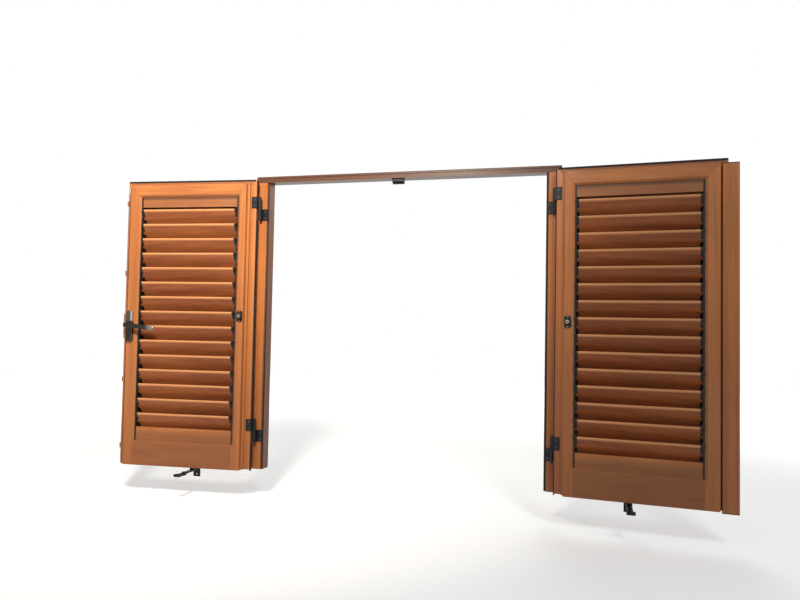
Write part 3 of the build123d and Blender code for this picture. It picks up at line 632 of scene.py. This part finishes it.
# Painted highlight: the upper end, the rim above the lever and the lever's tip are made lighter
above_lever = lacquer.smooth_step(lacquer_height, *above_lever_heights)
inner_rim = lacquer.smooth_step(lacquer_across, *inner_rim_across)
lever_tip = lacquer.smooth_step(lacquer_across + lacquer_patches * 0.012, *lever_tip_across)
painted_highlight = above_lever * (inner_rim * 0.75 + 0.12) + lever_tip * 0.42
lacquer_tone = lacquer.mix(lacquer_patches, colour(28, 25, 24), colour(44, 40, 37))
lacquer_black = lacquer.shade(**{
    "Base Color": lacquer.mix(painted_highlight, lacquer_tone, painted_highlight_tone),
    "Roughness": 0.18 + lacquer_patches * 0.12,
    "Metallic": 0.80,
    "Coat Weight": lacquer_patches * 0.5,
})
work = bmesh.new()
rectangle(work, plate_width, plate_length)
soften(work, work.verts[:], plate_corner, 6, "VERTICES")
pull(work, work.faces[:], (0, 0, plate_thickness))
front_rim = [edge for edge in work.edges
             if all(vert.co.z > plate_thickness / 2 for vert in edge.verts)]
soften(work, front_rim, plate_rim, 3)
made("left_handle_plate", work, lacquer_black, "left_leaf",
     leaf_to_room("left") @ facing_front(plate_along, leaf_front, plate_height), 25.0)


# Lever: a die-cast arm with a round neck on a flat rose, flattened and a little wider than it is
# thick, that tapers to a blunt rounded tip. It has the plate's lacquer, and droops a few degrees.
hub_along, hub_height = 0.535, -0.624
neck_foot, neck_radius, neck_length = -0.0553, 0.0090, 0.0150
rose_radius, rose_thickness = 0.0128, 0.0030
neck_taper = 0.94
lever_depth = -0.0763
lever_droop = math.radians(5.0)
lever_half_width, lever_half_thickness = 0.0095, 0.0060
lever_squareness = 0.72
# How far along the arm each section lies, and its share of the full width and thickness
lever_sections = ((-0.0118, 0.35, 0.40), (-0.0108, 0.74, 0.70), (-0.0080, 1.04, 0.92),
                  (0.0, 1.20, 1.0), (0.030, 1.06, 1.0), (0.062, 0.92, 0.90), (0.094, 0.92, 0.84),
                  (0.110, 0.96, 0.86), (0.1185, 0.84, 0.74), (0.1225, 0.56, 0.48),
                  (0.1240, 0.20, 0.16))
work = bmesh.new()
rings = []
for along, width_share, thickness_share in lever_sections:
    ring = bmesh.ops.create_circle(work, segments=24, radius=1.0)["verts"]
    for vert in ring:
        vert.co.x = math.copysign(abs(vert.co.x) ** lever_squareness, vert.co.x)
        vert.co.y = math.copysign(abs(vert.co.y) ** lever_squareness, vert.co.y)
    bmesh.ops.scale(work, verts=ring, vec=(thickness_share * lever_half_thickness,
                                           width_share * lever_half_width, 1))
    bmesh.ops.translate(work, verts=ring, vec=(0, 0, along))
    rings.append(ring)
ring_edges = [[edge for edge in work.edges if edge.verts[0] in ring and edge.verts[1] in ring]
              for ring in rings]
for ring, next_ring in zip(ring_edges, ring_edges[1:]):
    bmesh.ops.bridge_loops(work, edges=ring + next_ring)
bmesh.ops.contextual_create(work, geom=ring_edges[0])
bmesh.ops.contextual_create(work, geom=ring_edges[-1])
arm_turn = Matrix(((0, 0, -math.cos(lever_droop), hub_along),
                   (1, 0, 0, lever_depth),
                   (0, 1, -math.sin(lever_droop), hub_height),
                   (0, 0, 0, 1)))
bmesh.ops.transform(work, matrix=arm_turn, verts=work.verts[:])
for radius, length in ((neck_radius, neck_length), (rose_radius, rose_thickness)):
    neck = bmesh.ops.create_cone(work, cap_ends=True, segments=40, radius1=radius,
                                 radius2=radius * neck_taper, depth=length)["verts"]
    stand = (facing_front(hub_along, neck_foot, hub_height)
             @ Matrix.Translation((0, 0, length / 2)))
    bmesh.ops.transform(work, matrix=stand, verts=neck)
lever = made("left_lever_casting", work, lacquer_black, "left_lever",
             leaf_to_room("left"), 32.0)
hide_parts("left_lever")


# Hold-backs: forged steel arms that reach out under the leaves, each with a catch on a pin at its
# end that tips up in front of the leaf. They are painted black like the hinges.
for name in ("left_catch", "right_catch", "holdback_arms"):
    coat(name, black_steel)


# The floor: a wide pale plane under the lowest fitting, which keeps the shadow. The far part glows
# a little towards white.
def seen_by_eye(finish):
    """1 for a ray that looks straight at a surface, in a mirror or through glass, and else 0."""
    straight, mirrored, through = (
        finish.node("ShaderNodeLightPath", {}, {}, ray)
        for ray in ("Is Camera Ray", "Is Glossy Ray", "Is Transmission Ray"))
    return straight.sum("MAXIMUM", straight, straight.sum("MAXIMUM", mirrored, through))


floor_height = -1.32
floor_size = 12.0
near_glow, far_glow = 0.30, 1.0
glow_distances = 2.1, 4.6

work = bmesh.new()
rectangle(work, floor_size, floor_size)
bmesh.ops.translate(work, verts=work.verts, vec=(0, 0, floor_height))
floor_data = bpy.data.meshes.new("floor")
work.to_mesh(floor_data)
work.free()
floor = bpy.data.objects.new("floor", floor_data)
bpy.context.scene.collection.objects.link(floor)
floor_finish = new_finish("floor_finish")
away = floor_finish.node("ShaderNodeVectorMath", {"operation": "LENGTH"},
                         {0: floor_finish.place()}, "Value")
glow = near_glow + floor_finish.smooth_step(away, *glow_distances) * (far_glow - near_glow)
floor_data.materials.append(floor_finish.shade(**{
    "Base Color": colour(234, 233, 230),
    "Roughness": 0.8,
    "Specular IOR Level": 0.2,
    "Emission Color": seen_by_eye(floor_finish) * glow,
    "Emission Strength": 1.0,
}))


# Light: a warm lamp in front that is aimed at the left leaf, a cooler and wider one on the right,
# and a wide one behind for the backs.
def soft_lamp(name, place, aim, size, power, tone, spread=180.0):
    data = bpy.data.lights.new(name, "AREA")
    data.shape = "DISK"
    data.size = size
    data.energy = power
    data.spread = math.radians(spread)
    data.color = tone
    lamp = bpy.data.objects.new(name, data)
    lamp.location = place
    lamp.rotation_mode = "QUATERNION"
    lamp.rotation_quaternion = (Vector(aim) - Vector(place)).to_track_quat("-Z", "Y")
    bpy.context.scene.collection.objects.link(lamp)


soft_lamp("lamp_left", (-0.10, -2.1, 0.90), (-1.15, 0.0, 0.05), 0.45, 40.0, (1.0, 0.93, 0.82),
          100.0)
soft_lamp("lamp_right", (1.9, -2.9, 1.9), (0.4, 0.0, -0.40), 1.0, 50.0, (0.95, 0.98, 1.0))
soft_lamp("lamp_back", (0.5, 3.0, 1.6), (0.0, 0.0, -0.6), 2.5, 42.0, (1.0, 1.0, 1.0))

# Light from all round: dim and pale, but plain white to the camera, in metal and through glass, so
# that the background is white
world = bpy.data.worlds.new("sky")
bpy.context.scene.world = world
sky = Finish(world)
dim = sky.node("ShaderNodeBackground", {}, {"Color": (0.95, 0.97, 1.0, 1.0), "Strength": 0.34})
white = sky.node("ShaderNodeBackground", {}, {"Color": (1.0, 1.0, 1.0, 1.0), "Strength": 1.0})
either = sky.node("ShaderNodeMixShader", {}, {"Fac": seen_by_eye(sky), 1: dim, 2: white})
sky.node("ShaderNodeOutputWorld", {}, {"Surface": either})
